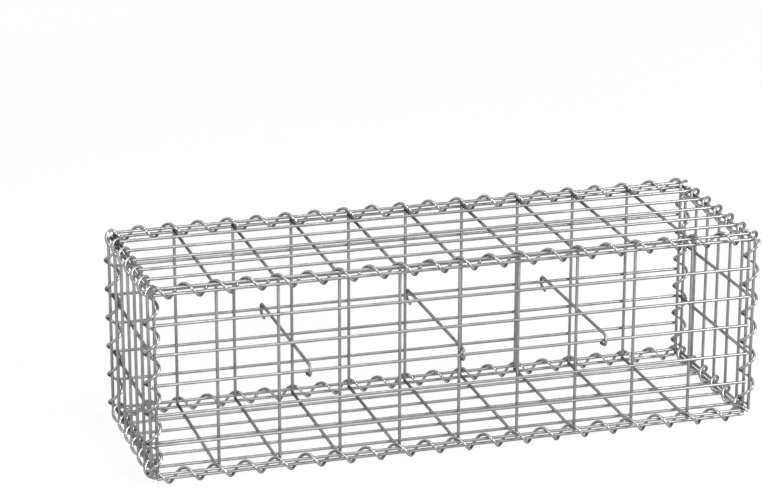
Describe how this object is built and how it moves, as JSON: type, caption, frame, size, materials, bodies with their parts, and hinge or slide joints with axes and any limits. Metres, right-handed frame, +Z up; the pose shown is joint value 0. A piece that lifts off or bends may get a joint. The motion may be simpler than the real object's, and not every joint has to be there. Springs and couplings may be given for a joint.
{
  "type": "gabion basket",
  "caption": "Long empty wire-mesh gabion basket for stone fill, with a lid, edges laced by wire spirals and spacer wires hooked across it.",
  "frame": {"origin": "on the ground under the middle of the basket", "axes": "+X along the length, +Y from front to back, +Z up"},
  "size_m": [1.0374, 0.3298, 0.3341],
  "materials": {
    "mesh_wire": "satin",
    "spiral_wire": "satin",
    "spacer_wire": "satin"
  },
  "bodies": {
    "root": {"front_panel": "mesh_wire", "back_panel": "mesh_wire", "lid_panel": "mesh_wire", "base_panel": "mesh_wire", "left_end_panel": "mesh_wire", "right_end_panel": "mesh_wire", "front_top_spiral": "spiral_wire", "front_bottom_spiral": "spiral_wire", "back_top_spiral": "spiral_wire", "back_bottom_spiral": "spiral_wire", "left_top_spiral": "spiral_wire", "left_bottom_spiral": "spiral_wire", "right_top_spiral": "spiral_wire", "right_bottom_spiral": "spiral_wire", "left_front_spiral": "spiral_wire", "left_back_spiral": "spiral_wire", "right_front_spiral": "spiral_wire", "right_back_spiral": "spiral_wire", "spacer_wire_1": "spacer_wire", "spacer_wire_2": "spacer_wire", "spacer_wire_3": "spacer_wire"}
  },
  "joints": []
}
